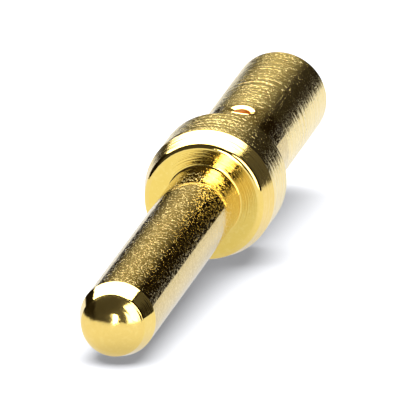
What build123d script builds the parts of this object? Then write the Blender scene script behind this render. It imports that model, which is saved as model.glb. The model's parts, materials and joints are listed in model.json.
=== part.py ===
from build123d import *

import os
from math import radians, tan

# A turned male crimp contact, gold plated, in one piece. It stands on the flat
# end of its crimp barrel, on a surface at z = 0, with its turning axis along Z
# and its nose up. All sizes are in millimetres.

# Crimp barrel
barrel_diameter = 2.55
barrel_length = 7.2
barrel_end_chamfer = 0.06

# Collar: a plain land, a tapered lead and a flat front face
collar_diameter = 3.5
collar_length = 2.3
lead_length = 0.75
lead_drop = 0.175
face_edge_radius = 0.15
lead_blend_radius = 0.12
collar_rear_radius = 0.06

# Contact pin. Its nose is a tapered band and then a round dome
pin_diameter = 2.0
pin_length = 11.05
root_radius = 0.03
nose_length = 1.0
nose_band_length = 0.55
nose_dome_diameter = 1.68
nose_edge_radius = 0.15

# Blind bore for the wire strands, drilled from the barrel's end
bore_diameter = 1.8
bore_depth = 6.4
bore_lead_in = 0.12
drill_point_angle = 118.0

# Inspection hole through one wall of the barrel, on its -Y side
inspection_diameter = 0.46
inspection_setback = 1.9
countersink_width = 0.11
countersink_depth = 0.055

# Radii, and heights above the barrel's end
barrel_radius = barrel_diameter / 2
collar_radius = collar_diameter / 2
face_radius = collar_radius - lead_drop
pin_radius = pin_diameter / 2
dome_radius = nose_dome_diameter / 2
bore_radius = bore_diameter / 2
collar_rear = barrel_length
collar_front = collar_rear + collar_length
lead_start = collar_front - lead_length
nose_tip = collar_front + pin_length
nose_start = nose_tip - nose_length
dome_start = nose_start + nose_band_length
dome_height = nose_length - nose_band_length
dome_curve_radius = (dome_radius**2 + dome_height**2) / (2 * dome_height)
inspection_height = collar_rear - inspection_setback
drill_point_depth = bore_radius / tan(radians(drill_point_angle / 2))


def corner(sketch, radius, height):
    """Return the sketch's corner nearest to a radius and a height."""
    return sketch.vertices().sort_by_distance((radius, height))[0]


with BuildPart() as crimp_contact:
    # Outside: barrel, collar, pin and nose in one half-section
    with BuildSketch(Plane.XZ) as outside:
        with BuildLine():
            dome = RadiusArc((0, nose_tip), (dome_radius, dome_start), dome_curve_radius)
            Polyline(
                dome @ 1,
                (pin_radius, nose_start),
                (pin_radius, collar_front),
                (face_radius, collar_front),
                (collar_radius, lead_start),
                (collar_radius, collar_rear),
                (barrel_radius, collar_rear),
                (barrel_radius, 0),
                (0, 0),
                dome @ 0,
            )
        make_face()
        fillet(corner(outside, dome_radius, dome_start), nose_edge_radius)
        fillet(corner(outside, pin_radius, nose_start), nose_edge_radius)
        fillet(corner(outside, pin_radius, collar_front), root_radius)
        fillet(corner(outside, face_radius, collar_front), face_edge_radius)
        fillet(corner(outside, collar_radius, lead_start), lead_blend_radius)
        fillet(corner(outside, collar_radius, collar_rear), collar_rear_radius)
        chamfer(corner(outside, barrel_radius, 0), barrel_end_chamfer)
    revolve(axis=Axis.Z)

    # Wire bore: lead-in, straight wall and the cone that the drill leaves
    with BuildSketch(Plane.XZ):
        with BuildLine():
            Polyline(
                (0, 0),
                (bore_radius + bore_lead_in, 0),
                (bore_radius, bore_lead_in),
                (bore_radius, bore_depth),
                (0, bore_depth + drill_point_depth),
                close=True,
            )
        make_face()
    revolve(axis=Axis.Z, mode=Mode.SUBTRACT)

    # Inspection hole, with a shallow countersink round its outer rim
    with BuildSketch(Plane.XZ.offset(barrel_radius * 2)):
        with Locations((0, inspection_height)):
            Circle(inspection_diameter / 2)
    extrude(amount=-barrel_radius * 2, mode=Mode.SUBTRACT)
    outer_rim = crimp_contact.edges(Select.LAST).sort_by(Axis.Y)[0]
    hole_wall = crimp_contact.faces(Select.LAST).sort_by(Axis.Y)[0]
    chamfer(outer_rim, countersink_depth, countersink_width, reference=hole_wall)

os.makedirs("parts", exist_ok=True)
crimp_contact.part.label = "crimp_contact"
export_step(crimp_contact.part, "parts/crimp_contact.step")
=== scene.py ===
"""Looks of the gold-plated crimp contact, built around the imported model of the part.

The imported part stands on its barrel's open end, with its turning axis along Z. The
photograph shows it lying on its nose and collar, so the camera, the lamps and the pale
floor are set out in the frame of that floor and then carried over to the part.
"""

import json
import logging
import math
from dataclasses import dataclass
from enum import Enum
from typing import Any, Union

import bmesh
import bpy
from mathutils import Matrix, Vector


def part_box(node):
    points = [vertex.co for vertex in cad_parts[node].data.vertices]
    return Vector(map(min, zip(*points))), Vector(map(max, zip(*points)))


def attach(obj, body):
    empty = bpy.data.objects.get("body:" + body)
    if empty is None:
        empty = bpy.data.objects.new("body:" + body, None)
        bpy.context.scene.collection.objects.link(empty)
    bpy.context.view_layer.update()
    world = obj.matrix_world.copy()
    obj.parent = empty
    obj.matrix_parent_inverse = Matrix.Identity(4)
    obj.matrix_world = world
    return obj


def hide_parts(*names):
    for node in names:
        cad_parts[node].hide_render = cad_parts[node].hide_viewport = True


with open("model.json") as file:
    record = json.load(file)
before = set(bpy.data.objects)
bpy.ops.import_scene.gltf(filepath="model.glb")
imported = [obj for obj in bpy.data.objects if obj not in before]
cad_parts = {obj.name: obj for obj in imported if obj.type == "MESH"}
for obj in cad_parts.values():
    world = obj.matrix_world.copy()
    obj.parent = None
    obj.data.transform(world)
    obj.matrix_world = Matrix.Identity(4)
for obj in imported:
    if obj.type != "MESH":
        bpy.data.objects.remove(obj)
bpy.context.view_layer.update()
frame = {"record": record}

MM = 0.001
PHOTO_SIZE = 408
NODE = "crimp_contact"

# Sockets of a Mix node that mixes colours
MIX_FACTOR, MIX_FIRST, MIX_SECOND, MIX_RESULT = 0, 6, 7, 2

log = logging.getLogger("crimp_contact")


class Finish(Enum):
    """The ways in which the contact's gold surface is finished."""

    GRAINED = 0
    TURNED = 1
    BURNISHED = 2
    SCORED = 3
    DRILLED = 4
    RINGED = 5


class Term:
    """A node's output that can stand in a sum: each operator adds a Math node."""

    def __init__(self, tree: "NodeTree", socket: Any) -> None:
        """Keep the tree that the output belongs to, and the output."""
        self.tree = tree
        self.socket = socket

    def __add__(self, other: "Value") -> "Term":
        """Return the sum."""
        return self.tree.math("ADD", self, other)

    def __radd__(self, other: "Value") -> "Term":
        """Return the sum."""
        return self.tree.math("ADD", other, self)

    def __sub__(self, other: "Value") -> "Term":
        """Return the difference."""
        return self.tree.math("SUBTRACT", self, other)

    def __rsub__(self, other: "Value") -> "Term":
        """Return the difference from a number."""
        return self.tree.math("SUBTRACT", other, self)

    def __mul__(self, other: "Value") -> "Term":
        """Return the product."""
        return self.tree.math("MULTIPLY", self, other)

    def __rmul__(self, other: "Value") -> "Term":
        """Return the product."""
        return self.tree.math("MULTIPLY", other, self)

    def __truediv__(self, other: "Value") -> "Term":
        """Return the quotient."""
        return self.tree.math("DIVIDE", self, other)

    def __lt__(self, other: "Value") -> "Term":
        """Return 1 where this is less than the other, and 0 elsewhere."""
        return self.tree.math("LESS_THAN", self, other)

    def __gt__(self, other: "Value") -> "Term":
        """Return 1 where this is more than the other, and 0 elsewhere."""
        return self.tree.math("GREATER_THAN", self, other)

    def __abs__(self) -> "Term":
        """Return the size without its sign."""
        return self.tree.math("ABSOLUTE", self)


Value = Union[Term, float]


class NodeTree:
    """A node tree that is written as expressions."""

    def __init__(self, tree: Any) -> None:
        """Start from a tree and take away the nodes in it."""
        self.tree = tree
        self.tree.nodes.clear()

    def node(
        self,
        kind: str,
        settings: dict[str, Any] | None = None,
        inputs: dict[Any, Any] | None = None,
    ) -> Any:
        """Add a node.

        Args:
            kind: The node's type.
            settings: Properties of the node, which are set before its sockets.
            inputs: Values or terms, by the name or the number of their socket.

        Returns:
            The new node.
        """
        made = self.tree.nodes.new(kind)
        for name, setting in (settings or {}).items():
            setattr(made, name, setting)
        for key, value in (inputs or {}).items():
            socket = made.inputs[key]
            if isinstance(value, Term):
                self.tree.links.new(value.socket, socket)
            else:
                socket.default_value = value
        return made

    def term(self, kind: str, output: Any = 0, **parts: dict[Any, Any]) -> Term:
        """Add a node and return one of its outputs, by name or number."""
        return Term(self, self.node(kind, **parts).outputs[output])

    def math(self, operation: str, *values: Value) -> Term:
        """Add a Math node.

        Args:
            operation: What the node does with its values.
            *values: The values, in the order of the node's sockets.

        Returns:
            The node's result.
        """
        return self.term(
            "ShaderNodeMath",
            settings={"operation": operation},
            inputs=dict(enumerate(values)),
        )

    def ramp(
        self, factor: Term, low: tuple[float, float], high: tuple[float, float]
    ) -> Term:
        """Add a value that runs straight between two stops and is level beyond them.

        Args:
            factor: The value that is looked up.
            low: The lower stop, as a factor and the value there.
            high: The upper stop, as a factor and the value there.

        Returns:
            The value.
        """
        return self.term(
            "ShaderNodeMapRange",
            inputs={0: factor, 1: low[0], 2: high[0], 3: low[1], 4: high[1]},
        )

    def either(self, test: Term, no: Term, yes: Term) -> Term:
        """Return the second shader where a test is 1, and the first elsewhere."""
        return self.term("ShaderNodeMixShader", inputs={0: test, 1: no, 2: yes})


@dataclass(frozen=True)
class GoldFinish:
    """Gold plating with its grain, its turning marks and its sheen.

    Attributes:
        name: The material's name.
        colour: Colour of the plating where it is clean.
        shade: Colour of the plating in its duller spots, and the painted shade between
            its grains.
        roughness: Roughness of the plating's own surface.
        roughness_spread: How far the roughness strays, up and down.
        grain_size: Width of a grain that tumbling has left, in metres.
        grain_depth: Height of the grains, in metres.
        ring_pitch: Distance between turning marks, in metres.
        ring_depth: Depth of the turning marks, in metres.
        rings_on_face: True where the marks are circles on a face, and False where
            they run round a cylinder.
    """

    name: str
    colour: tuple[float, float, float]
    shade: tuple[float, float, float]
    roughness: float
    roughness_spread: float
    grain_size: float
    grain_depth: float
    ring_pitch: float
    ring_depth: float
    rings_on_face: bool = False

    # Grains stand where their noise is past the foot, and are whole at the top. The
    # ground between them rolls by a share of their height.
    GRAIN_FOOT = 0.55
    GRAIN_TOP = 0.7
    GRAIN_DETAIL = 2.0
    GROUND_SHARE = 0.1
    RING_DETAIL = 1.0

    # Dull spots in a millimetre, and the noise between which they fade
    DULL_SPOTS = 4.0
    DULL_DETAIL = 3.0
    DULLEST = 0.3
    CLEANEST = 0.7
    NOISE_ROUGHNESS = 0.6

    # How much of the shade colour the dull spots and the painted shade between grains
    # bring in, the grain's height where that painted shade ends, and what the spots and
    # the grain come to together
    DULL_SHARE = 0.4
    PAINTED_SHADE_SHARE = 0.6
    PAINTED_SHADE_END = 0.5
    MEAN_SUM = 0.7

    def material(self) -> bpy.types.Material:
        """Make the material with this finish.

        Returns:
            The new material.
        """
        made = bpy.data.materials.new(self.name)
        made.use_nodes = True
        tree = NodeTree(made.node_tree)
        place = tree.term("ShaderNodeTexCoord", "Object")
        at = tree.term(
            "ShaderNodeMapping",
            inputs={"Vector": place, "Scale": (1 / MM, 1 / MM, 1 / MM)},
        )
        grain = self._grain(tree, at)
        rings = self._rings(tree, at)
        dull = tree.term(
            "ShaderNodeTexNoise",
            inputs={
                "Vector": at,
                "Scale": self.DULL_SPOTS,
                "Detail": self.DULL_DETAIL,
                "Roughness": self.NOISE_ROUGHNESS,
            },
        )
        stray = self.roughness_spread * (dull + grain - self.MEAN_SUM)
        colour = self._colour(tree, dull, grain)
        turned = tree.term(
            "ShaderNodeBump",
            "Normal",
            inputs={"Strength": 1.0, "Distance": self.ring_depth, "Height": rings},
        )
        grained = tree.term(
            "ShaderNodeBump",
            "Normal",
            inputs={
                "Strength": 1.0,
                "Distance": self.grain_depth,
                "Height": grain,
                "Normal": turned,
            },
        )
        gold = tree.term(
            "ShaderNodeBsdfPrincipled",
            "BSDF",
            inputs={
                "Base Color": colour,
                "Metallic": 1.0,
                "Roughness": self.roughness + stray,
                "Normal": grained,
            },
        )
        tree.node("ShaderNodeOutputMaterial", inputs={"Surface": gold})
        return made

    def _colour(self, tree: NodeTree, dull: Term, grain: Term) -> Term:
        """Mix the clean colour with the shade, in dull spots and as painted shade
        between grains.

        Args:
            tree: The material's tree.
            dull: Noise that is low in the dull spots.
            grain: Height of the grains.

        Returns:
            The plating's colour, with its painted shade.
        """
        worn = tree.ramp(dull, (self.DULLEST, 1.0), (self.CLEANEST, 0.0))
        # Painted shade: the colour darkens where the grain is low, between the grains.
        painted_hollow_shade = tree.ramp(grain, (0.0, 1.0), (self.PAINTED_SHADE_END, 0.0))
        return tree.term(
            "ShaderNodeMix",
            MIX_RESULT,
            settings={"data_type": "RGBA"},
            inputs={
                MIX_FACTOR: self.DULL_SHARE * worn + self.PAINTED_SHADE_SHARE * painted_hollow_shade,
                MIX_FIRST: (*self.colour, 1.0),
                MIX_SECOND: (*self.shade, 1.0),
            },
        )

    def _grain(self, tree: NodeTree, at: Term) -> Term:
        """Raise grains out of a smooth ground.

        Args:
            tree: The material's tree.
            at: The place on the contact, in millimetres.

        Returns:
            The height, from 0 to about 1.
        """
        soft = tree.term(
            "ShaderNodeTexNoise",
            inputs={
                "Vector": at,
                "Scale": MM / self.grain_size,
                "Detail": self.GRAIN_DETAIL,
                "Roughness": self.NOISE_ROUGHNESS,
            },
        )
        grains = tree.ramp(soft, (self.GRAIN_FOOT, 0.0), (self.GRAIN_TOP, 1.0))
        return self.GROUND_SHARE * soft + grains

    def _rings(self, tree: NodeTree, at: Term) -> Term:
        """Lay turning marks round the axis.

        Args:
            tree: The material's tree.
            at: The place on the contact, in millimetres.

        Returns:
            The height, from about 0 to 1.
        """
        parts = tree.node("ShaderNodeSeparateXYZ", inputs={0: at})
        x, y, z = (Term(tree, output) for output in parts.outputs)
        along = tree.math("SQRT", x * x + y * y) if self.rings_on_face else z
        return tree.term(
            "ShaderNodeTexNoise",
            settings={"noise_dimensions": "1D"},
            inputs={
                "W": along,
                "Scale": MM / self.ring_pitch,
                "Detail": self.RING_DETAIL,
            },
        )


FINISHES = {
    Finish.GRAINED: GoldFinish(
        name="gold_grained",
        # Darker than the turned gold: painted shade on the pin and the front of the
        # barrel.
        colour=(0.88, 0.71, 0.30),
        shade=(0.60, 0.43, 0.12),
        roughness=0.06,
        roughness_spread=0.03,
        grain_size=0.056 * MM,
        grain_depth=0.0024 * MM,
        ring_pitch=0.06 * MM,
        ring_depth=0.0006 * MM,
    ),
    Finish.TURNED: GoldFinish(
        name="gold_turned",
        colour=(0.93, 0.71, 0.20),
        shade=(0.90, 0.66, 0.15),
        roughness=0.08,
        roughness_spread=0.03,
        grain_size=0.12 * MM,
        grain_depth=0.0006 * MM,
        ring_pitch=0.035 * MM,
        ring_depth=0.0025 * MM,
        rings_on_face=True,
    ),
    Finish.BURNISHED: GoldFinish(
        name="gold_burnished",
        colour=(0.93, 0.71, 0.22),
        shade=(0.90, 0.66, 0.18),
        roughness=0.07,
        roughness_spread=0.03,
        grain_size=0.12 * MM,
        grain_depth=0.0006 * MM,
        ring_pitch=0.05 * MM,
        ring_depth=0.001 * MM,
    ),
    Finish.SCORED: GoldFinish(
        name="gold_scored",
        colour=(0.93, 0.70, 0.22),
        shade=(0.90, 0.65, 0.18),
        roughness=0.16,
        roughness_spread=0.03,
        grain_size=0.12 * MM,
        grain_depth=0.0008 * MM,
        ring_pitch=0.08 * MM,
        ring_depth=0.0085 * MM,
    ),
    Finish.RINGED: GoldFinish(
        name="gold_ringed",
        # Lighter than the turned gold: painted light on the rear of the barrel and the
        # collar's land.
        colour=(1.0, 0.83, 0.37),
        shade=(0.86, 0.66, 0.23),
        roughness=0.18,
        roughness_spread=0.03,
        grain_size=0.062 * MM,
        grain_depth=0.0025 * MM,
        ring_pitch=0.2 * MM,
        ring_depth=0.016 * MM,
    ),
    Finish.DRILLED: GoldFinish(
        name="gold_drilled",
        colour=(1.0, 0.62, 0.24),
        shade=(0.95, 0.52, 0.18),
        roughness=0.5,
        roughness_spread=0.06,
        grain_size=0.1 * MM,
        grain_depth=0.003 * MM,
        ring_pitch=0.08 * MM,
        ring_depth=0.003 * MM,
    ),
}


@dataclass(frozen=True)
class Corner:
    """A corner of the contact's half-section, and the straight run that follows it.

    Attributes:
        radius: Distance from the turning axis, in metres.
        height: Height above the barrel's end, in metres.
        steps: Rows of faces on the run that follows.
        finish: Finish of that run.
        rounding: Radius that rounds the corner, in metres.
    """

    radius: float
    height: float
    steps: int
    finish: Finish
    rounding: float = 0.0

    @property
    def point(self) -> Vector:
        """Return the corner's place in the half-section."""
        return Vector((self.radius, self.height))


class HalfSection:
    """The line from the bore's tip to the nose that is turned round the axis."""

    ROUNDING_STEPS = 6

    def __init__(self) -> None:
        """Start with no points."""
        self.points: list[Vector] = []
        self.finishes: list[Finish] = []

    def add(self, point: Vector, finish: Finish) -> None:
        """Add a point, with the finish of the row of faces that starts there."""
        self.points.append(point)
        self.finishes.append(finish)

    def follow(self, corners: list[Corner]) -> None:
        """Add straight runs from corner to corner, with the corners rounded.

        Args:
            corners: The corners in order. The last one only ends the run before it.
        """
        start = corners[0].point
        for here, after, beyond in zip(corners, corners[1:], corners[2:] + [None]):
            arc = self._rounding(here.point, after, beyond)
            end = arc[0] if arc else after.point
            for step in range(here.steps):
                self.add(start.lerp(end, step / here.steps), here.finish)
            for point in arc[:-1]:
                self.add(point, Finish.BURNISHED)
            start = arc[-1] if arc else after.point

    def _rounding(
        self, before: Vector, corner: Corner, after: Corner | None
    ) -> list[Vector]:
        """Round a corner.

        Args:
            before: Where the line comes from.
            corner: The corner.
            after: Where the line goes on to, or None at its end.

        Returns:
            The points of the arc, or none where the corner is sharp.
        """
        if corner.rounding == 0.0 or after is None:
            return []
        inward = (before - corner.point).normalized()
        onward = (after.point - corner.point).normalized()
        half = inward.angle(onward) / 2
        middle = (inward + onward).normalized()
        centre = corner.point + middle * (corner.rounding / math.sin(half))
        reach = corner.rounding / math.tan(half)
        first = corner.point + inward * reach - centre
        sweep = first.angle_signed(corner.point + onward * reach - centre)
        steps = self.ROUNDING_STEPS
        return [
            centre + Matrix.Rotation(-sweep * step / steps, 2) @ first
            for step in range(steps + 1)
        ]


def dome_points(radius: float, height: float, tip: float, steps: int) -> list[Vector]:
    """Set points along a dome's arc.

    Args:
        radius: Radius of the dome's edge, in metres.
        height: Height of the dome's edge, in metres.
        tip: Height of the dome's tip, in metres.
        steps: Number of steps along the arc.

    Returns:
        The points, from the edge to the tip.
    """
    rise = tip - height
    curve = (radius**2 + rise**2) / (2 * rise)
    start = math.asin(radius / curve)
    turns = [start * (1 - step / steps) for step in range(steps + 1)]
    return [
        Vector((curve * math.sin(t), tip - curve * (1 - math.cos(t)))) for t in turns
    ]


class TurnedBody:
    """Geometry Nodes that turn a half-section round the axis and leave a window."""

    FINISH_NAME = "finish"
    MERGE_DISTANCE = 0.0002 * MM

    def __init__(self, section: HalfSection, segments: int) -> None:
        """Keep the half-section and the number of columns round the axis."""
        self.section = section
        self.segments = segments

    def build(
        self, window: tuple[float, float, float], materials: dict[Finish, Any]
    ) -> bpy.types.Mesh:
        """Make the turned mesh.

        Args:
            window: Half-angle in radians, lowest and highest height in metres of the
                window that is left open on the -Y side.
            materials: The material of each finish.

        Returns:
            The mesh, with a material index on each face.
        """
        outline = bpy.data.meshes.new("half_section")
        points = self.section.points
        outline.from_pydata(
            [(p.x, 0.0, p.y) for p in points],
            [(i, i + 1) for i in range(len(points) - 1)],
            [],
        )
        layer = outline.attributes.new(self.FINISH_NAME, "INT", "POINT")
        layer.data.foreach_set("value", [f.value for f in self.section.finishes])
        blank = bpy.data.objects.new("half_section", outline)
        bpy.context.scene.collection.objects.link(blank)
        turning = blank.modifiers.new("turning", "NODES")
        turning.node_group = self._group(materials)
        values = {
            "Rows": len(points),
            "Segments": self.segments,
            "Window Half Angle": window[0],
            "Window Bottom": window[1],
            "Window Top": window[2],
        }
        for item in turning.node_group.interface.items_tree:
            if item.in_out == "INPUT" and item.name in values:
                turning[item.identifier] = values[item.name]
        bpy.context.view_layer.update()
        graph = bpy.context.evaluated_depsgraph_get()
        made = bpy.data.meshes.new_from_object(blank.evaluated_get(graph))
        bpy.data.objects.remove(blank)
        made.materials.clear()
        for kind in Finish:
            made.materials.append(materials[kind])
        kinds = [0] * len(made.polygons)
        made.attributes[self.FINISH_NAME].data.foreach_get("value", kinds)
        made.polygons.foreach_set("material_index", kinds)
        made.polygons.foreach_set("use_smooth", [True] * len(kinds))
        return made

    def _group(self, materials: dict[Finish, Any]) -> bpy.types.NodeTree:
        """Make the node group that turns the half-section.

        Args:
            materials: The material of each finish.

        Returns:
            The node group.
        """
        group = bpy.data.node_groups.new("turned_body", "GeometryNodeTree")
        tree = NodeTree(group)
        for name, kind in (
            ("Geometry", "NodeSocketGeometry"),
            ("Rows", "NodeSocketInt"),
            ("Segments", "NodeSocketInt"),
            ("Window Half Angle", "NodeSocketFloat"),
            ("Window Bottom", "NodeSocketFloat"),
            ("Window Top", "NodeSocketFloat"),
        ):
            group.interface.new_socket(name=name, in_out="INPUT", socket_type=kind)
        group.interface.new_socket(
            name="Geometry", in_out="OUTPUT", socket_type="NodeSocketGeometry"
        )
        given = tree.node("NodeGroupInput")
        section, rows, segments, half_angle, bottom, top = (
            Term(tree, output) for output in list(given.outputs)[:6]
        )
        grid = tree.term(
            "GeometryNodeMeshGrid",
            "Mesh",
            inputs={"Vertices X": segments + 1.0, "Vertices Y": rows},
        )
        index = tree.term("GeometryNodeInputIndex")
        column = tree.math("FLOOR", index / rows)
        place = self._sample(
            tree,
            section,
            "FLOAT_VECTOR",
            tree.term("GeometryNodeInputPosition"),
            index - column * rows,
        )
        turned = tree.term(
            "ShaderNodeVectorRotate",
            settings={"rotation_type": "Z_AXIS"},
            inputs={"Vector": place, "Angle": column * math.tau / segments},
        )
        finish = tree.term(
            "GeometryNodeInputNamedAttribute",
            settings={"data_type": "INT"},
            inputs={"Name": self.FINISH_NAME},
        )
        face_column = tree.math("FLOOR", index / (rows - 1.0))
        face_finish = self._sample(
            tree, section, "INT", finish, index - face_column * (rows - 1.0)
        )
        body = tree.term(
            "GeometryNodeStoreNamedAttribute",
            settings={"data_type": "INT", "domain": "FACE"},
            inputs={"Geometry": grid, "Name": self.FINISH_NAME, "Value": face_finish},
        )
        body = tree.term(
            "GeometryNodeSetPosition", inputs={"Geometry": body, "Position": turned}
        )
        body = tree.term(
            "GeometryNodeDeleteGeometry",
            settings={"domain": "FACE"},
            inputs={
                "Geometry": body,
                "Selection": self._window(tree, half_angle, bottom, top),
            },
        )
        body = tree.term(
            "GeometryNodeMergeByDistance",
            inputs={"Geometry": body, "Distance": self.MERGE_DISTANCE},
        )
        body = tree.term("GeometryNodeRealizeInstances", inputs={"Geometry": body})
        for kind, material in materials.items():
            chosen = abs(finish - float(kind.value)) < 0.5 if kind.value else True
            body = tree.term(
                "GeometryNodeSetMaterial",
                inputs={"Geometry": body, "Selection": chosen, "Material": material},
            )
        tree.node("NodeGroupOutput", inputs={"Geometry": body})
        return group

    def _sample(
        self, tree: NodeTree, source: Term, kind: str, value: Term, index: Term
    ) -> Term:
        """Read a value from a point of the half-section.

        Args:
            tree: The node group's tree.
            source: The half-section.
            kind: The value's type.
            value: The value that is read.
            index: The point's number.

        Returns:
            The value at that point.
        """
        return tree.term(
            "GeometryNodeSampleIndex",
            settings={"data_type": kind, "domain": "POINT"},
            inputs={"Geometry": source, "Value": value, "Index": index},
        )

    def _window(
        self, tree: NodeTree, half_angle: Term, bottom: Term, top: Term
    ) -> Term:
        """Pick the faces of the window on the -Y side.

        Args:
            tree: The node group's tree.
            half_angle: The window's half-angle, in radians.
            bottom: Its lowest height, in metres.
            top: Its highest height, in metres.

        Returns:
            1 on the faces inside the window, and 0 elsewhere.
        """
        position = tree.term("GeometryNodeInputPosition")
        parts = tree.node("ShaderNodeSeparateXYZ", inputs={0: position})
        x, y, z = (Term(tree, output) for output in parts.outputs)
        angle = abs(tree.math("ARCTAN2", x, y * -1.0))
        return (angle < half_angle) * (z > bottom) * (z < top)


@dataclass(frozen=True)
class InspectionHole:
    """The round hole through the barrel's wall, with its shallow countersink.

    Attributes:
        radius: Radius of the hole, in metres.
        rim_width: Width of its countersink, in metres.
        rim_depth: Depth of its countersink, in metres.
        height: Height of its centre above the barrel's end, in metres.
        barrel_radius: Outer radius of the wall, in metres.
        bore_radius: Inner radius of the wall, in metres.
        half_columns: Columns of the window on each side of the hole's centre.
        rows: Rows of the window.
        half_height: Half the window's height, in metres.
        lip_width: Width of the slope up to the low lip round the countersink.
        lip_height: Height of that lip above the wall, in metres.
    """

    radius: float
    rim_width: float
    rim_depth: float
    height: float
    barrel_radius: float
    bore_radius: float
    half_columns: int = 14
    rows: int = 24
    half_height: float = 0.5 * MM
    lip_width: float = 0.04 * MM
    lip_height: float = 0.009 * MM

    PATCH_RINGS = 6
    LIP_RINGS = 3
    RIM_RINGS = 6
    WALL_RINGS = 5

    def window(self, segments: int) -> tuple[float, float, float]:
        """Work out the window that the hole needs in the turned body.

        Args:
            segments: Columns of the turned body.

        Returns:
            The window's half-angle in radians, and its bottom and top in metres.
        """
        half = self.half_height
        angle = self.half_columns * math.tau / segments
        return angle, self.height - half, self.height + half

    def _frame_points(self, wall_radius: float, segments: int) -> list[Vector]:
        """Walk round the window's edge.

        Args:
            wall_radius: Radius of the wall that the edge lies on, in metres.
            segments: Columns of the turned body.

        Returns:
            The edge's points, seen along the hole, as offsets from its centre.
        """
        turn = math.tau / segments
        columns, rows = self.half_columns, self.rows
        step = 2 * self.half_height / rows
        path = [(c, 0) for c in range(-columns, columns)]
        path += [(columns, r) for r in range(rows)]
        path += [(c, rows) for c in range(columns, -columns, -1)]
        path += [(-columns, r) for r in range(rows, 0, -1)]
        return [
            Vector((wall_radius * math.sin(c * turn), r * step - self.half_height))
            for c, r in path
        ]

    def _on_wall(self, offset: Vector, wall_radius: float, drop: float = 0.0) -> Vector:
        """Return the point of a cylindrical wall at an offset, sunk by a drop."""
        depth = math.sqrt(wall_radius**2 - offset.x**2) - drop
        return Vector((offset.x, -depth, self.height + offset.y))

    def loops(self, segments: int) -> list[tuple[list[Vector], Finish]]:
        """Return the closed loops of the patch, from the outer wall to the bore.

        Args:
            segments: Columns of the turned body.

        Returns:
            Each loop's points, with the finish of the faces that follow the loop.
        """
        outer = self._frame_points(self.barrel_radius, segments)
        inner = self._frame_points(self.bore_radius, segments)
        ways = [point.normalized() for point in outer]
        rim = self.radius + self.rim_width
        edge = rim + self.lip_width
        made: list[tuple[list[Vector], Finish]] = []
        for ring in range(self.PATCH_RINGS):
            share = ring / self.PATCH_RINGS
            offsets = [p.lerp(w * edge, share) for p, w in zip(outer, ways)]
            points = [self._on_wall(o, self.barrel_radius) for o in offsets]
            made.append((points, Finish.GRAINED))
        for ring in range(self.LIP_RINGS):
            share = ring / self.LIP_RINGS
            reach, drop = edge - self.lip_width * share, -self.lip_height * share
            points = [self._on_wall(w * reach, self.barrel_radius, drop) for w in ways]
            made.append((points, Finish.BURNISHED))
        for ring in range(self.RIM_RINGS):
            share = ring / self.RIM_RINGS
            reach = rim - self.rim_width * share
            drop = self.rim_depth * share - self.lip_height * (1 - share)
            points = [self._on_wall(w * reach, self.barrel_radius, drop) for w in ways]
            made.append((points, Finish.BURNISHED))
        top = [
            self._on_wall(w * self.radius, self.barrel_radius, self.rim_depth)
            for w in ways
        ]
        foot = [self._on_wall(w * self.radius, self.bore_radius) for w in ways]
        for ring in range(self.WALL_RINGS):
            share = ring / self.WALL_RINGS
            made.append(([t.lerp(f, share) for t, f in zip(top, foot)], Finish.DRILLED))
        for ring in range(self.PATCH_RINGS + 1):
            share = ring / self.PATCH_RINGS
            offsets = [(w * self.radius).lerp(p, share) for p, w in zip(inner, ways)]
            points = [self._on_wall(o, self.bore_radius) for o in offsets]
            made.append((points, Finish.DRILLED))
        return made

    def fill(self, mesh: bpy.types.Mesh, segments: int) -> None:
        """Close the window of a turned mesh with the hole and the wall round it.

        Args:
            mesh: The turned mesh, whose window is open.
            segments: Columns of the turned body.
        """
        work = bmesh.new()
        work.from_mesh(mesh)
        loops = self.loops(segments)
        rings = [[work.verts.new(p) for p in points] for points, _ in loops]
        for (first, second), (_, finish) in zip(zip(rings, rings[1:]), loops):
            for i in range(len(first)):
                j = (i + 1) % len(first)
                face = work.faces.new((first[i], first[j], second[j], second[i]))
                face.material_index = finish.value
                face.smooth = True
        distance = TurnedBody.MERGE_DISTANCE
        bmesh.ops.remove_doubles(work, verts=work.verts[:], dist=distance)
        bmesh.ops.recalc_face_normals(work, faces=work.faces[:])
        if work.calc_volume(signed=True) < 0:
            bmesh.ops.reverse_faces(work, faces=work.faces[:])
        open_edges = sum(not edge.is_manifold for edge in work.edges)
        log.info("contact: %d faces, %d open edges", len(work.faces), open_edges)
        work.to_mesh(mesh)
        work.free()


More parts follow.
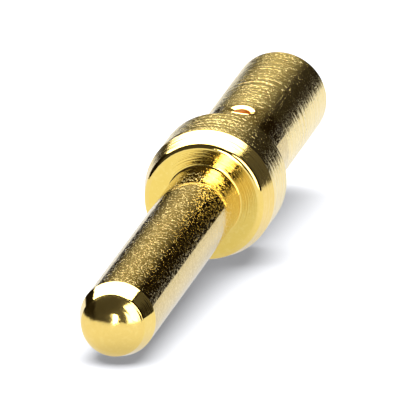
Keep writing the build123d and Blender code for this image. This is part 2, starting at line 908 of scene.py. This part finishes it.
@dataclass(frozen=True)
class CrimpContact:
    """The whole contact, from its open barrel to its nose.

    Its lengths are in metres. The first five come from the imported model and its
    record. The other lengths, edge_break apart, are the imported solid's own.

    Attributes:
        pin_radius: Radius of the pin.
        bore_radius: Radius of the wire bore.
        bore_depth: Depth of the bore's straight wall.
        collar_radius: Radius of the collar's land.
        overall_length: Length from the barrel's end to the nose.
        pin_length: Length of the pin in front of the collar.
        root_radius: Radius in the corner between the pin and the collar.
        collar_length: Length of the collar, with its taper.
        collar_edge_radius: Radius on the collar's rear edge.
        lead_length: Length of the collar's taper.
        lead_drop: How much the taper takes off the collar's radius.
        lead_blend_radius: Radius between the land and the taper.
        face_edge_radius: Radius between the taper and the front face.
        barrel_radius: Radius of the crimp barrel.
        barrel_end_chamfer: Chamfer round the barrel's open end.
        bore_lead_in: Chamfer at the bore's mouth.
        edge_break: Radius on the edges that are only just broken.
        drill_point_angle: Angle of the cone at the bore's end, in degrees.
        hole_radius: Radius of the inspection hole.
        countersink_width: Width of the countersink round that hole.
        countersink_depth: Depth of that countersink.
        hole_setback: Distance from the collar back to the hole's centre.
        nose_length: Length of the nose, from its taper to its tip.
        nose_band_length: Length of the nose's taper.
        dome_radius: Radius of the nose where its dome starts.
        nose_edge_radius: Radius on both edges of the nose's taper.
        segments: Columns of faces round the axis.
        dome_steps: Rows of faces from the dome's edge to its tip.
        dome_edge_steps: Those of them that the rounded edge takes up.
        sharp_angle: Angle past which an edge is drawn sharp, in degrees.
    """

    pin_radius: float
    bore_radius: float
    bore_depth: float
    collar_radius: float
    overall_length: float
    pin_length: float = 11.05 * MM
    root_radius: float = 0.03 * MM
    collar_length: float = 2.3 * MM
    collar_edge_radius: float = 0.06 * MM
    lead_length: float = 0.75 * MM
    lead_drop: float = 0.175 * MM
    lead_blend_radius: float = 0.12 * MM
    face_edge_radius: float = 0.15 * MM
    barrel_radius: float = 1.275 * MM
    barrel_end_chamfer: float = 0.06 * MM
    bore_lead_in: float = 0.12 * MM
    edge_break: float = 0.025 * MM
    drill_point_angle: float = 118.0
    hole_radius: float = 0.23 * MM
    countersink_width: float = 0.11 * MM
    countersink_depth: float = 0.055 * MM
    hole_setback: float = 1.9 * MM
    nose_length: float = 1.0 * MM
    nose_band_length: float = 0.55 * MM
    dome_radius: float = 0.84 * MM
    nose_edge_radius: float = 0.15 * MM
    segments: int = 192
    dome_steps: int = 48
    dome_edge_steps: int = 4
    sharp_angle: float = 32.0

    @classmethod
    def from_frame(cls) -> "CrimpContact":
        """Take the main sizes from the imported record.

        Returns:
            The contact with those sizes.
        """
        mounts = {mount["name"]: mount for mount in frame["record"]["mounts"]}
        pin, bore, land = (
            mounts[name] for name in ("contact_pin", "crimp_bore", "collar_land")
        )
        low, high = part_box(NODE)
        bore_middle = bore["pos_m"][2] - low.z
        return cls(
            pin_radius=pin["dims"]["r_mm"] * MM,
            bore_radius=bore["dims"]["r_mm"] * MM,
            bore_depth=bore_middle + bore["dims"]["length_mm"] * MM / 2,
            collar_radius=land["dims"]["r_mm"] * MM,
            overall_length=high.z - low.z,
        )

    @property
    def collar_front(self) -> float:
        """Return the height of the collar's front face."""
        return self.overall_length - self.pin_length

    @property
    def collar_rear(self) -> float:
        """Return the height of the collar's rear face."""
        return self.collar_front - self.collar_length

    @property
    def nose_start(self) -> float:
        """Return the height at which the nose starts."""
        return self.overall_length - self.nose_length

    @property
    def hole(self) -> InspectionHole:
        """Place the inspection hole.

        Returns:
            The hole, with its sizes.
        """
        return InspectionHole(
            radius=self.hole_radius,
            rim_width=self.countersink_width,
            rim_depth=self.countersink_depth,
            height=self.collar_rear - self.hole_setback,
            barrel_radius=self.barrel_radius,
            bore_radius=self.bore_radius,
        )

    def section(self) -> HalfSection:
        """Draw the half-section, from the drill's tip in the bore to the nose.

        Returns:
            The half-section.
        """
        _, low, high = self.hole.window(self.segments)
        rows = self.hole.rows
        bore, barrel = self.bore_radius, self.barrel_radius
        collar, pin = self.collar_radius, self.pin_radius
        face = collar - self.lead_drop
        mouth = bore + self.bore_lead_in
        tip = bore / math.tan(math.radians(self.drill_point_angle / 2))
        lead_start = self.collar_front - self.lead_length
        chamfer, soft = self.barrel_end_chamfer, self.edge_break
        grained, turned = Finish.GRAINED, Finish.TURNED
        burnished, drilled = Finish.BURNISHED, Finish.DRILLED
        scored, ringed = Finish.SCORED, Finish.RINGED
        dome_start = self.nose_start + self.nose_band_length
        dome = dome_points(
            self.dome_radius, dome_start, self.overall_length, self.dome_steps
        )[self.dome_edge_steps :]
        made = HalfSection()
        # Radius, height, rows of faces up to the next corner, their finish, rounding
        made.follow(
            [
                Corner(0.0, self.bore_depth + tip, 8, drilled),
                Corner(bore, self.bore_depth, 4, drilled),
                Corner(bore, high, rows, drilled),
                Corner(bore, low, 12, drilled),
                Corner(bore, self.bore_lead_in, 2, drilled, soft),
                Corner(mouth, 0.0, 4, turned, soft),
                Corner(barrel - chamfer, 0.0, 2, burnished, soft),
                Corner(barrel, chamfer, 24, ringed, soft),
                Corner(barrel, low, rows, grained),
                Corner(barrel, high, 8, grained),
                Corner(barrel, self.collar_rear, 6, turned, soft),
                Corner(collar, self.collar_rear, 8, ringed, self.collar_edge_radius),
                Corner(collar, lead_start, 12, scored, self.lead_blend_radius),
                Corner(face, self.collar_front, 12, turned, self.face_edge_radius),
                Corner(pin, self.collar_front, 48, grained, self.root_radius),
                Corner(pin, self.nose_start, 14, burnished, self.nose_edge_radius),
                Corner(self.dome_radius, dome_start, 2, scored, self.nose_edge_radius),
                Corner(*dome[0], 1, scored),
            ]
        )
        for point in dome:
            made.add(point, scored)
        return made

    def build(self) -> bpy.types.Object:
        """Make the contact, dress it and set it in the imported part's place.

        Returns:
            The contact.
        """
        materials = {kind: FINISHES[kind].material() for kind in Finish}
        body = TurnedBody(self.section(), self.segments)
        mesh = body.build(self.hole.window(self.segments), materials)
        self.hole.fill(mesh, self.segments)
        mesh.set_sharp_from_angle(angle=math.radians(self.sharp_angle))
        mesh.name = "gold_contact"
        contact = bpy.data.objects.new("gold_contact", mesh)
        bpy.context.scene.collection.objects.link(contact)
        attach(contact, "root")
        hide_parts(NODE)
        contact.visible_diffuse = False
        return contact


@dataclass(frozen=True)
class LyingPose:
    """Where the floor of the photograph is, seen from the standing part.

    On that floor, X runs from the nose to the barrel in plan, Z is up, and the origin
    is the spot that the nose touches.

    Attributes:
        contact: The contact that lies on the floor.
        roll: Angle by which the inspection hole is turned from straight up, in degrees.
    """

    contact: CrimpContact
    roll: float = 6.5

    @property
    def tilt(self) -> float:
        """Work out how the axis slants when the nose and the collar touch the floor.

        Returns:
            The axis's rise from nose to barrel, in radians.
        """
        part = self.contact
        run = part.nose_start - (part.collar_front - part.lead_length)
        slant = math.hypot(run, part.collar_radius)
        rise = math.atan2(part.collar_radius, run)
        return rise - math.asin(part.pin_radius / slant)

    def turn(self) -> Matrix:
        """Carry the floor's directions over to the part.

        Returns:
            The rotation that does so.
        """
        along = Vector((math.cos(self.tilt), 0.0, math.sin(self.tilt)))
        up = Vector((-along.z, 0.0, along.x))
        roll = math.radians(self.roll)
        hole = up * math.cos(roll) + Vector((0.0, -math.sin(roll), 0.0))
        floor_axes = Matrix((along, hole, along.cross(hole)))
        part_along, part_hole = Vector((0.0, 0.0, -1.0)), Vector((0.0, -1.0, 0.0))
        part_axes = Matrix((part_along, part_hole, part_along.cross(part_hole)))
        return part_axes.transposed() @ floor_axes

    def place(self, point: Vector) -> Vector:
        """Carry a point over to the part's frame.

        Args:
            point: The point in the floor's frame.

        Returns:
            The same point in the part's frame.
        """
        nose = Vector((0.0, 0.0, self.contact.nose_start))
        lift = Vector((0.0, 0.0, self.contact.pin_radius * math.cos(self.tilt)))
        return nose + self.turn() @ (point - lift)

    def aim(self, toward: Vector, up: Vector) -> Matrix:
        """Turn a camera or a lamp to look along a direction.

        Args:
            toward: The direction to look in, in the floor's frame.
            up: The direction that stays up in the view.

        Returns:
            The rotation in the part's frame.
        """
        back = -toward.normalized()
        right = up.cross(back).normalized()
        axes = Matrix((right, back.cross(right), back)).transposed()
        return (self.turn() @ axes).to_4x4()


@dataclass(frozen=True)
class PhotoCamera:
    """The camera that sees the contact as the photograph does.

    Attributes:
        heading: Angle between the contact's axis and the line of sight, in plan, in
            degrees.
        look_down: Angle of the line of sight below the horizon, in degrees.
        lens: Focal length in millimetres, long enough to flatten the view.
        sensor: Width of the sensor, in millimetres.
        clip: The nearest and the furthest distance that shows, in metres.
        pixels_per_mm: Scale at the contact's middle.
        nose_pixel: Where the centre of the round nose is in the photograph.
    """

    heading: float = 12.62
    look_down: float = 13.67
    lens: float = 1400.0
    sensor: float = 36.0
    clip: tuple[float, float] = (0.05, 10.0)
    pixels_per_mm: float = 38.15
    nose_pixel: tuple[float, float] = (117.6, 318.8)

    def directions(self) -> tuple[Vector, Vector, Vector]:
        """Work out how the camera is turned.

        Returns:
            The line of sight, the right and the up direction, in the floor's frame.
        """
        turn, down = math.radians(self.heading), math.radians(self.look_down)
        ahead = Vector((math.cos(turn), math.sin(turn), 0.0))
        sight = ahead * math.cos(down) - Vector((0.0, 0.0, math.sin(down)))
        right = ahead.cross(Vector((0.0, 0.0, 1.0)))
        return sight, right, right.cross(sight)

    def floor_direction(self, azimuth: float, elevation: float) -> Vector:
        """Point to a spot of the surroundings.

        Args:
            azimuth: Angle to the right of the camera's heading, in degrees.
            elevation: Angle above the horizon, in degrees.

        Returns:
            The direction, in the floor's frame.
        """
        sight, right, _ = self.directions()
        ahead = Vector((sight.x, sight.y, 0.0)).normalized()
        turn, rise = math.radians(azimuth), math.radians(elevation)
        level = ahead * math.cos(turn) + right * math.sin(turn)
        return level * math.cos(rise) + Vector((0.0, 0.0, math.sin(rise)))

    def build(self, pose: LyingPose) -> bpy.types.Object:
        """Make the camera and make it the scene's own.

        Args:
            pose: The way the contact lies.

        Returns:
            The camera.
        """
        sight, right, up = self.directions()
        part = pose.contact
        along = Vector((math.cos(pose.tilt), 0.0, math.sin(pose.tilt)))
        focal = self.lens / self.sensor * PHOTO_SIZE
        half_depth = along.dot(sight) * part.overall_length / 2
        distance = focal / (self.pixels_per_mm / MM) - half_depth
        per_pixel = distance / focal
        nose = Vector((0.0, 0.0, part.pin_radius * math.cos(pose.tilt)))
        across = (self.nose_pixel[0] - PHOTO_SIZE / 2) * per_pixel
        rise = (PHOTO_SIZE / 2 - self.nose_pixel[1]) * per_pixel
        spot = nose - sight * distance - right * across - up * rise
        data = bpy.data.cameras.new("photo_camera")
        data.lens, data.sensor_width = self.lens, self.sensor
        data.clip_start, data.clip_end = self.clip
        camera = bpy.data.objects.new("photo_camera", data)
        camera.matrix_world = Matrix.Translation(pose.place(spot)) @ pose.aim(sight, up)
        bpy.context.scene.collection.objects.link(camera)
        bpy.context.scene.camera = camera
        return camera


class Lit(Enum):
    """What a lamp lights."""

    METAL = "metal"
    FLOOR = "floor"


@dataclass(frozen=True)
class SoftBox:
    """A rectangular lamp that faces the contact.

    Attributes:
        name: The lamp's name.
        azimuth: Its direction to the right of the camera's heading, in degrees.
        elevation: Its direction above the horizon, in degrees.
        distance: Its distance from the contact, in metres.
        size: Its width and height, in metres.
        radiance: Its brightness, where 1 shows as white.
        lights: What the lamp lights.
        shift: How far its middle is moved along its width and height, in metres.
        roll: Angle by which its right end is raised, in degrees.
    """

    name: str
    azimuth: float
    elevation: float
    distance: float
    size: tuple[float, float]
    radiance: float
    lights: Lit
    shift: tuple[float, float] = (0.0, 0.0)
    roll: float = 0.0

    def build(
        self,
        pose: LyingPose,
        camera: PhotoCamera,
        groups: dict[Lit, bpy.types.Collection],
    ) -> bpy.types.Object:
        """Make the lamp.

        Args:
            pose: The way the contact lies.
            camera: The camera, whose heading the lamp's azimuth is measured from.
            groups: The objects of each kind that a lamp is kept to.

        Returns:
            The lamp.
        """
        toward = camera.floor_direction(self.azimuth, self.elevation)
        level = camera.floor_direction(self.azimuth + 90.0, 0.0)
        sideways = Matrix.Rotation(math.radians(-self.roll), 3, toward) @ level
        upward = sideways.cross(toward)
        target = Vector((pose.contact.overall_length / 2, 0.0, pose.contact.pin_radius))
        spot = target + toward * self.distance
        spot += sideways * self.shift[0] + upward * self.shift[1]
        data = bpy.data.lights.new(self.name, "AREA")
        data.shape = "RECTANGLE"
        data.size, data.size_y = self.size
        data.energy = self.radiance * math.pi * self.size[0] * self.size[1]
        lamp = bpy.data.objects.new(self.name, data)
        lamp.matrix_world = Matrix.Translation(pose.place(spot)) @ pose.aim(
            -toward, upward
        )
        lamp.visible_camera = False
        lamp.light_linking.receiver_collection = groups[self.lights]
        bpy.context.scene.collection.objects.link(lamp)
        return lamp


# Azimuth, elevation, distance, size, radiance and what each one lights
SOFT_BOXES = (
    SoftBox(
        "overhead_box",
        -5.0,
        62.0,
        0.2,
        (0.34, 0.167),
        7.0,
        Lit.METAL,
        shift=(-0.024, -0.008),
        roll=27.0,
    ),
    SoftBox("left_strip", -172.0, 10.0, 0.3, (0.055, 0.14), 15.0, Lit.METAL),
    SoftBox("side_fill", 56.0, 22.0, 0.3, (0.106, 0.218), 0.08, Lit.METAL),
    SoftBox("front_fill", -160.0, 48.0, 0.3, (0.8, 0.5), 0.05, Lit.METAL),
    SoftBox("right_strip", 132.0, 25.0, 0.3, (0.19, 0.28), 5.0, Lit.METAL),
    SoftBox("floor_key", -8.0, 70.0, 0.3, (0.42, 0.42), 6.2, Lit.FLOOR),
    SoftBox("floor_front", -177.0, 17.0, 0.5, (0.05, 0.05), 7.0, Lit.FLOOR),
)


@dataclass(frozen=True)
class Studio:
    """The pale floor, the lamps and the white surround.

    Attributes:
        floor_half: Half the floor's width, in metres.
        floor_colour: The floor's colour.
        floor_gain: Share of that colour that the camera sees.
        floor_dim: Share of that colour that the metal sees mirrored.
        floor_glow: Even brightness of the floor that the metal sees mirrored besides.
        gloom: Brightness of the unlit room, which the metal reflects.
        glow: Brightness of the soft glow round the overhead box's lower edge.
        glow_colour: The glow's colour.
        glow_way: Azimuth and elevation of the glow's middle, in degrees.
        glow_reach: Angle from its middle at which the glow has faded, in degrees.
    """

    floor_half: float = 0.4
    floor_colour: tuple[float, float, float] = (0.86, 0.87, 0.9)
    floor_gain: float = 0.8
    floor_dim: float = 0.17
    floor_glow: float = 0.7
    gloom: tuple[float, float, float] = (0.012, 0.008, 0.003)
    glow: float = 0.62
    glow_colour: tuple[float, float, float] = (1.0, 0.87, 0.48)
    glow_way: tuple[float, float] = (1.0, 28.0)
    glow_reach: float = 25.0

    def build(
        self, pose: LyingPose, camera: PhotoCamera, piece: bpy.types.Object
    ) -> None:
        """Make the floor, the lamps, the surround and the camera.

        Args:
            pose: The way the contact lies.
            camera: The camera of the photograph.
            piece: The contact itself.
        """
        groups = {kind: bpy.data.collections.new(kind.value) for kind in Lit}
        groups[Lit.METAL].objects.link(piece)
        groups[Lit.FLOOR].objects.link(self._floor(pose))
        self._surround(pose, camera)
        for box in SOFT_BOXES:
            box.build(pose, camera, groups)
        camera.build(pose)
        bpy.context.scene.view_settings.view_transform = "Standard"

    def _floor(self, pose: LyingPose) -> bpy.types.Object:
        """Make the floor that the photograph shows the contact lying on.

        Args:
            pose: The way the contact lies.

        Returns:
            The floor.
        """
        half = self.floor_half
        corners = [(-half, -half), (half, -half), (half, half), (-half, half)]
        mesh = bpy.data.meshes.new("pale_floor")
        places = [pose.place(Vector((x, y, 0.0))) for x, y in corners]
        mesh.from_pydata(places, [], [(0, 1, 2, 3)])
        floor = bpy.data.objects.new("pale_floor", mesh)
        bpy.context.scene.collection.objects.link(floor)
        mesh.materials.append(self._floor_material())
        return floor

    def _matt(self, tree: NodeTree, share: float) -> Term:
        """Return a matt shader in a share of the floor's colour."""
        colour = (*(part * share for part in self.floor_colour), 1.0)
        return tree.term("ShaderNodeBsdfDiffuse", inputs={"Color": colour})

    def _floor_material(self) -> bpy.types.Material:
        """Make a matt white that only its upper side shows.

        Returns:
            The material.
        """
        made = bpy.data.materials.new("pale_floor")
        made.use_nodes = True
        tree = NodeTree(made.node_tree)
        even = tree.term("ShaderNodeEmission", inputs={"Strength": self.floor_glow})
        mirrored = tree.term(
            "ShaderNodeAddShader", inputs={0: self._matt(tree, self.floor_dim), 1: even}
        )
        matt = tree.either(
            tree.term("ShaderNodeLightPath", "Is Camera Ray"),
            self._matt(tree, 1.0),
            self._matt(tree, self.floor_gain),
        )
        matt = tree.either(
            tree.term("ShaderNodeLightPath", "Is Glossy Ray"), matt, mirrored
        )
        surface = tree.either(
            tree.term("ShaderNodeNewGeometry", "Backfacing"),
            matt,
            tree.term("ShaderNodeBsdfTransparent"),
        )
        tree.node("ShaderNodeOutputMaterial", inputs={"Surface": surface})
        made.cycles.emission_sampling = "NONE"
        return made

    def _surround(self, pose: LyingPose, camera: PhotoCamera) -> None:
        """Make the world: white to the camera, and a dim room with a glow to all else.

        Args:
            pose: The way the contact lies.
            camera: The camera, from whose heading the glow's place is measured.
        """
        world = bpy.data.worlds.new("surround")
        world.use_nodes = True
        tree = NodeTree(world.node_tree)
        way = pose.turn() @ camera.floor_direction(*self.glow_way)
        near = tree.term(
            "ShaderNodeVectorMath",
            "Value",
            settings={"operation": "DOT_PRODUCT"},
            inputs={0: tree.term("ShaderNodeTexCoord", "Generated"), 1: way},
        )
        apart = tree.math("ARCCOSINE", near)
        edge = math.radians(self.glow_reach)
        glow = tree.ramp(apart, (0.0, self.glow), (edge, 0.0))
        dim = tree.term("ShaderNodeBackground", inputs={"Color": (*self.gloom, 1.0)})
        warm = tree.term(
            "ShaderNodeBackground",
            inputs={"Color": (*self.glow_colour, 1.0), "Strength": glow},
        )
        room = tree.term("ShaderNodeAddShader", inputs={0: dim, 1: warm})
        white = tree.term(
            "ShaderNodeBackground", inputs={"Color": (1.0, 1.0, 1.0, 1.0)}
        )
        seen = tree.term("ShaderNodeLightPath", "Is Camera Ray")
        surface = tree.either(seen, room, white)
        tree.node("ShaderNodeOutputWorld", inputs={"Surface": surface})
        bpy.context.scene.world = world


def main() -> None:
    """Build the contact and the studio round it."""
    logging.basicConfig(level=logging.INFO, format="%(name)s: %(message)s")
    contact = CrimpContact.from_frame()
    piece = contact.build()
    log.info("made %s", piece.name)
    Studio().build(LyingPose(contact), PhotoCamera(), piece)


if __name__ == "__main__":
    main()
